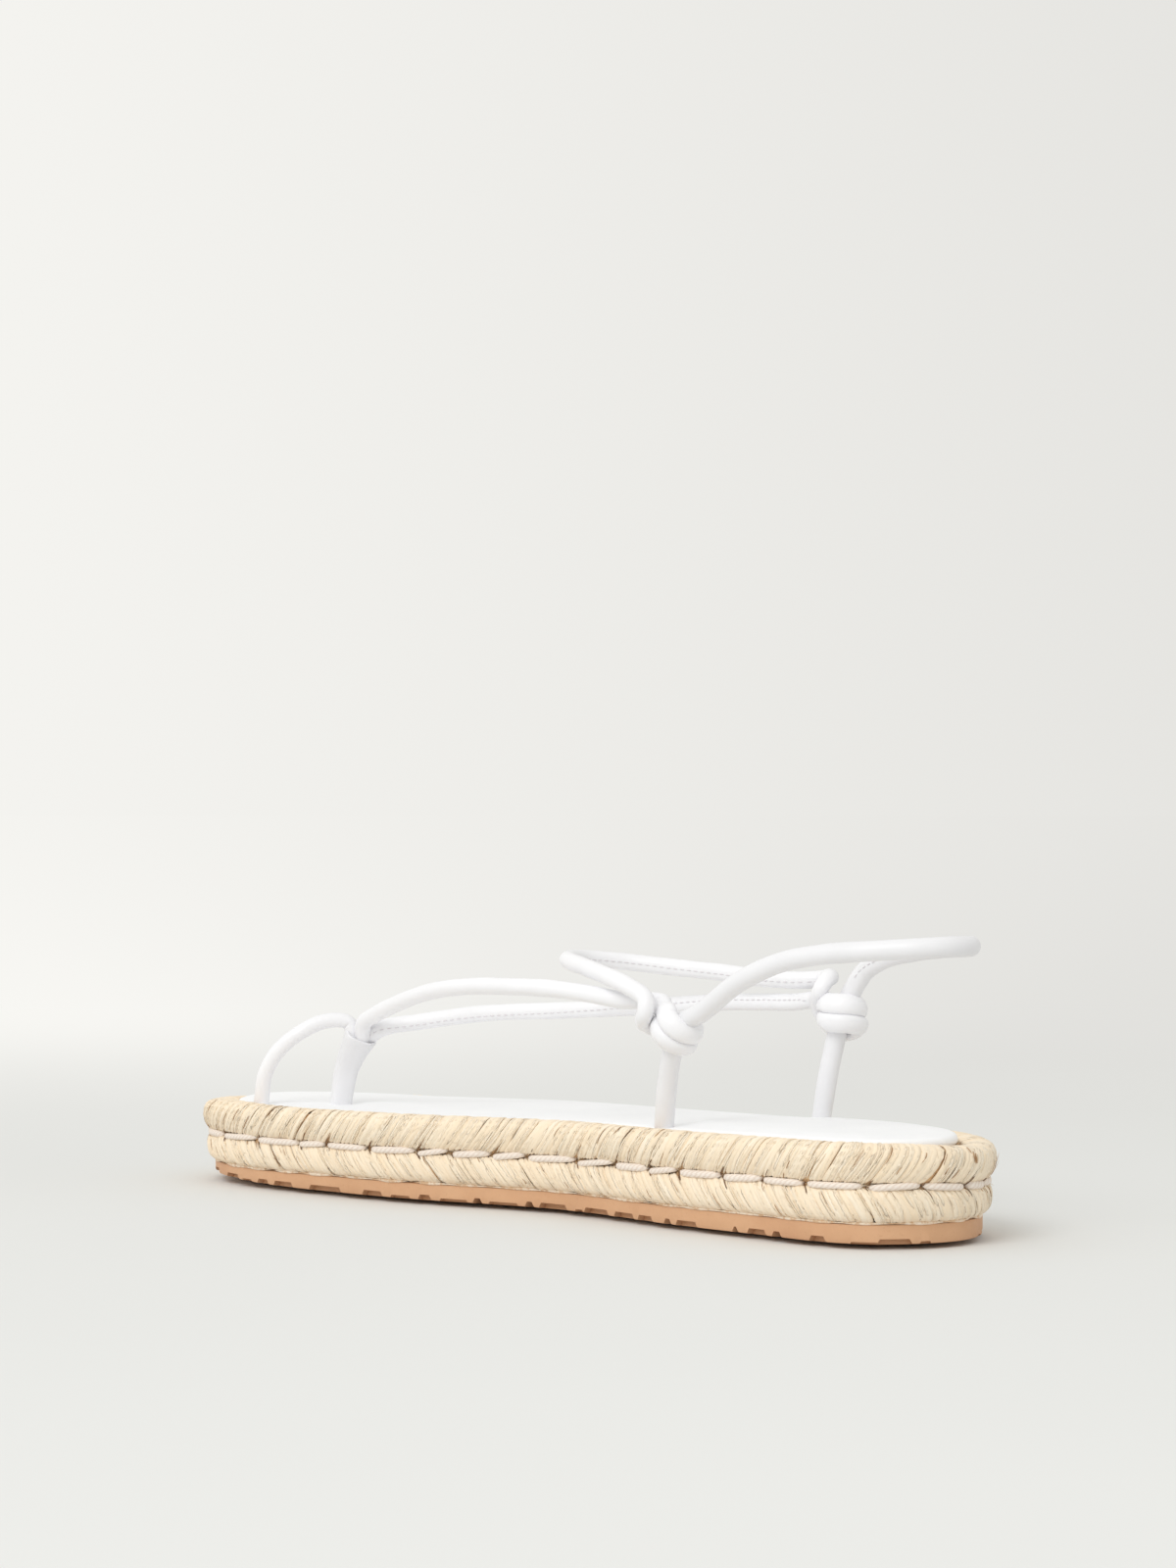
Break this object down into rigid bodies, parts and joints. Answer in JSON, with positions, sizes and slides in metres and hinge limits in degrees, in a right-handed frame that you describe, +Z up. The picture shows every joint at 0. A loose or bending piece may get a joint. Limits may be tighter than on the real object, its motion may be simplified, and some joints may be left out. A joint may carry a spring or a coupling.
{
  "type": "espadrille sandal",
  "caption": "Flat thong espadrille with a braided jute sole on gum rubber and an upper of white rolled leather cords knotted at the ankle.",
  "frame": {"origin": "on the ground under the middle of the sole's outline", "axes": "+X to the lateral side of the foot, +Y from the heel to the toe, +Z up"},
  "size_m": [0.0852, 0.2498, 0.0674],
  "materials": {
    "gum_rubber": "matt tan gum rubber",
    "jute": "natural braided jute",
    "footbed_leather": "smooth white leather",
    "strap_leather": "soft white nappa with a low sheen"
  },
  "bodies": {
    "root": {"outsole": "gum_rubber", "jute_sole": "jute", "insole": "footbed_leather", "toe_post": "strap_leather", "strap_upper": "strap_leather"}
  },
  "joints": []
}
